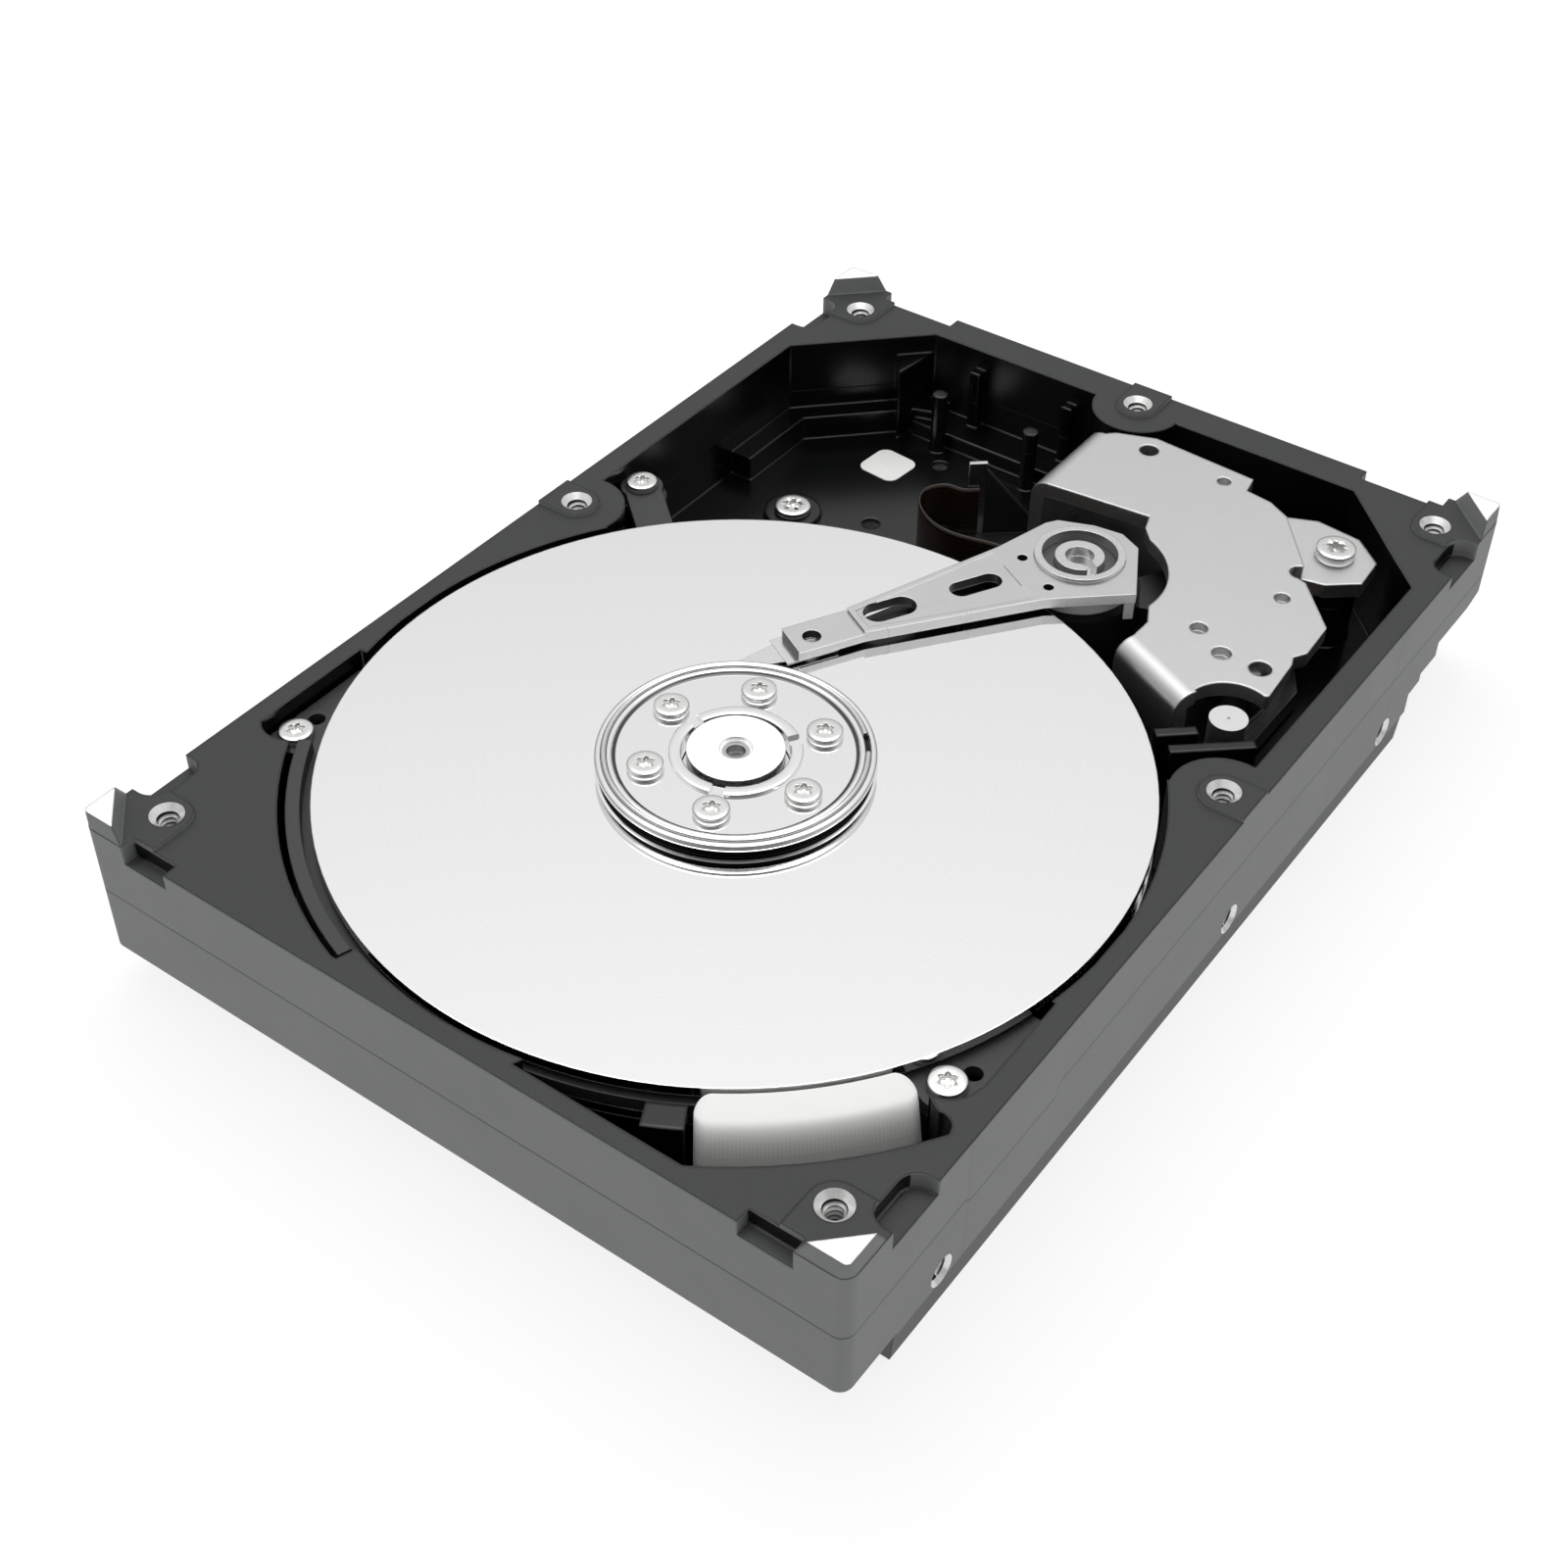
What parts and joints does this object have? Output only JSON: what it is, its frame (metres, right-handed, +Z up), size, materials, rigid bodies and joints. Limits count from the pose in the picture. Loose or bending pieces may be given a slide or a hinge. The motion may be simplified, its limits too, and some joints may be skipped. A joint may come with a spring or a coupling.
{
  "type": "hard disk drive",
  "caption": "Opened 3.5 inch hard disk drive: dark cast housing, mirror platters on a chrome hub, actuator arm and voice-coil yoke, cover off.",
  "frame": {"origin": "centre of the footprint, on the plane the side rails rest on", "axes": "+Z up, +Y towards the connector end, +X to the right seen from the platter end"},
  "size_m": [0.1016, 0.147, 0.0252],
  "materials": {
    "cast_dark": "matte black electrocoat",
    "black_plastic": "moulded",
    "bright_steel": "nickel plated",
    "plated_yoke": "satin nickel plate",
    "mirror_disk": "polished and sputtered",
    "chrome_hub": "polished",
    "bare_aluminium": "machined",
    "filter_cloth": "woven mesh",
    "paper_label": "paper",
    "copper_wire": "enamelled copper",
    "flex_film": "amber film",
    "green_board": "solder mask",
    "gold_contact": "gold plate",
    "rubber_stop": "soft",
    "ceramic": "fine ground"
  },
  "bodies": {
    "base": {"base_casting": "cast_dark", "disk_damper": "black_plastic", "damper_screws": "bright_steel", "floor_screw": "bright_steel", "recirculation_filter": "filter_cloth", "floor_label": "paper_label", "bearing_sleeve": "bright_steel", "thrust_plate": "bright_steel", "stator_core": "bright_steel", "stator_windings": "copper_wire", "pivot_shaft": "bright_steel", "yoke_bottom_plate": "plated_yoke", "bottom_magnet": "plated_yoke", "yoke_top_plate": "plated_yoke", "top_magnet": "plated_yoke", "yoke_screw": "bright_steel", "locating_pin": "bright_steel", "inner_crash_stop": "rubber_stop", "outer_crash_stop": "rubber_stop", "flex_bracket": "black_plastic", "flex_stiffener": "bright_steel", "flex_connector": "black_plastic", "flex_cable": "flex_film", "insulator_sheet": "black_plastic", "circuit_board": "green_board", "controller_chip": "black_plastic", "memory_chip": "black_plastic", "motor_driver_chip": "black_plastic", "sata_connector": "black_plastic", "sata_contacts": "gold_contact", "board_screws": "bright_steel"},
    "spindle": {"rotor_hub": "chrome_hub", "spindle_shaft": "bright_steel", "rotor_magnet": "plated_yoke", "lower_platter": "mirror_disk", "platter_spacer": "bare_aluminium", "upper_platter": "mirror_disk", "disk_clamp": "chrome_hub", "clamp_screws": "bright_steel", "balance_ring": "bright_steel"},
    "actuator": {"arm_block": "bare_aluminium", "pivot_sleeve": "bright_steel", "upper_pivot_bearing": "bright_steel", "lower_pivot_bearing": "bright_steel", "coil_fork": "black_plastic", "voice_coil": "copper_wire", "amplifier_board": "flex_film", "head_suspension_1": "bright_steel", "head_suspension_2": "bright_steel", "head_suspension_3": "bright_steel", "head_suspension_4": "bright_steel", "head_slider_1": "ceramic", "head_slider_2": "ceramic", "head_slider_3": "ceramic", "head_slider_4": "ceramic"}
  },
  "joints": [
    {"name": "spindle_spin", "type": "hinge", "parent": "base", "child": "spindle", "pos_m": [0, -0.02263, 0.015], "axis": [0, 0, 1], "continuous": true},
    {"name": "actuator_swing", "type": "hinge", "parent": "base", "child": "actuator", "pos_m": [0.0122, 0.0325, 0.018], "axis": [0, 0, 1], "range_deg": [-33, 0], "deforming": ["flex_cable"]}
  ]
}
